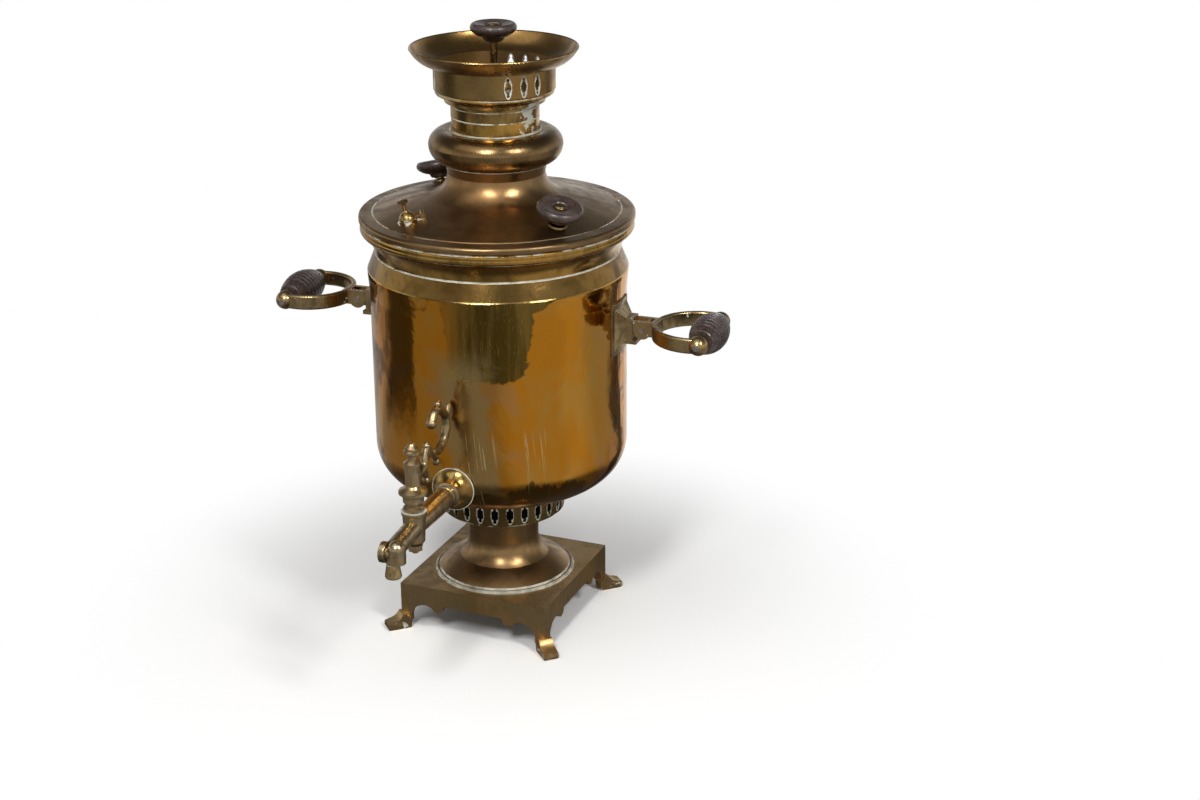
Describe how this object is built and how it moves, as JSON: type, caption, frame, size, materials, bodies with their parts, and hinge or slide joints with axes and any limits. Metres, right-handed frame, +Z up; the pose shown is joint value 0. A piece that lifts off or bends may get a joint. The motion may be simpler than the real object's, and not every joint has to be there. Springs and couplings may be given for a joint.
{
  "type": "charcoal samovar",
  "caption": "Charcoal samovar: brass cylinder on a footed base, with a lift-off lid, a crown for a teapot, a plug tap and drop handles.",
  "frame": {"origin": "on the body's axis, in the plane under the four toes", "axes": "+Z up along the body's axis; -Y the way the tap points; the handles lie along +X and -X"},
  "size_m": [0.4218, 0.3697, 0.5495],
  "materials": {
    "polished_brass": "polished brass, aged golden, with water stains and fine scratches",
    "cast_brass": "cast brass, dull ochre sides and a grey-brown top",
    "dull_brass": "dull bronze-brown brass with soft stains",
    "foot_brass": "glossy brown-gold brass",
    "gallery_brass": "stained brass with scale around its slots",
    "tube_brass": "brass, sooted inside",
    "grate_iron": "rough cast iron with ash",
    "tap_bronze": "dull grey-brown cast bronze",
    "nozzle_brass": "brighter brass with scale",
    "rosette_brass": "golden brass with residue at its rim",
    "gasket_fibre": "dark pressed fibre",
    "handle_bronze": "cast brass, worn dull gold",
    "dark_steel": "dark steel with a trace of rust",
    "dark_wood": "turned wood, very dark red-brown, half gloss",
    "knob_nut_brass": "dull brass",
    "vent_brass": "cast brass with pale scale"
  },
  "bodies": {
    "samovar": {"base_plinth": "cast_brass", "foot_dome": "foot_brass", "draft_gallery": "gallery_brass", "tie_stud": "dark_steel", "tie_washer": "dark_steel", "tie_nut": "dark_steel", "grate": "grate_iron", "fire_tube": "tube_brass", "body_shell": "polished_brass", "neck_ring": "polished_brass", "tap_rosette": "rosette_brass", "tap_body": "tap_bronze", "tap_nozzle": "nozzle_brass", "tap_locknut": "tap_bronze", "tap_gasket": "gasket_fibre", "handle_bracket_right": "handle_bronze", "handle_bracket_left": "handle_bronze", "handle_pin_right": "dark_steel", "handle_pin_left": "dark_steel"},
    "lid": {"lid_shell": "dull_brass", "lid_collar": "dull_brass", "lid_spindle_front": "dull_brass", "lid_knob_front": "dark_wood", "lid_knob_nut_front": "knob_nut_brass", "lid_spindle_back": "dull_brass", "lid_knob_back": "dark_wood", "lid_knob_nut_back": "knob_nut_brass", "vent_seat": "vent_brass", "vent_pin": "vent_brass"},
    "steam_vent": {"vent_cap": "vent_brass"},
    "crown": {"crown_neck": "dull_brass", "crown_spigot": "dull_brass", "crown_band": "dull_brass"},
    "cap": {"chimney_cap": "dull_brass", "cap_spindle": "dull_brass", "cap_knob": "dark_wood", "cap_knob_nut": "knob_nut_brass"},
    "right_handle": {"handle_loop_right": "handle_bronze", "grip_rod_right": "dark_steel", "handle_grip_right": "dark_wood"},
    "left_handle": {"handle_loop_left": "handle_bronze", "grip_rod_left": "dark_steel", "handle_grip_left": "dark_wood"},
    "tap_key": {"tap_key": "tap_bronze", "tap_lever": "tap_bronze", "tap_washer": "tap_bronze", "tap_nut": "tap_bronze"}
  },
  "joints": [
    {"name": "lid_lift", "type": "slide", "parent": "samovar", "child": "lid", "axis": [0, 0, 1], "range_m": [0, 0.12]},
    {"name": "crown_lift", "type": "slide", "parent": "lid", "child": "crown", "axis": [0, 0, 1], "range_m": [0, 0.06]},
    {"name": "cap_lift", "type": "slide", "parent": "crown", "child": "cap", "axis": [0, 0, 1], "range_m": [0, 0.08]},
    {"name": "vent_cap_hinge", "type": "hinge", "parent": "lid", "child": "steam_vent", "pos_m": [-0.03848, -0.07345, 0.39885], "axis": [-0.5086, 0.8522, 0.1227], "range_deg": [0, 100]},
    {"name": "right_handle_drop", "type": "hinge", "parent": "samovar", "child": "right_handle", "pos_m": [0.1358, 0, 0.2915], "axis": [0, 1, 0], "range_deg": [0, 85]},
    {"name": "left_handle_drop", "type": "hinge", "parent": "samovar", "child": "left_handle", "pos_m": [-0.1358, 0, 0.2915], "axis": [0, -1, 0], "range_deg": [0, 85]},
    {"name": "tap_turn", "type": "hinge", "parent": "samovar", "child": "tap_key", "pos_m": [0, -0.196, 0.167], "axis": [0, 0, 1], "range_deg": [-90, 90]}
  ]
}
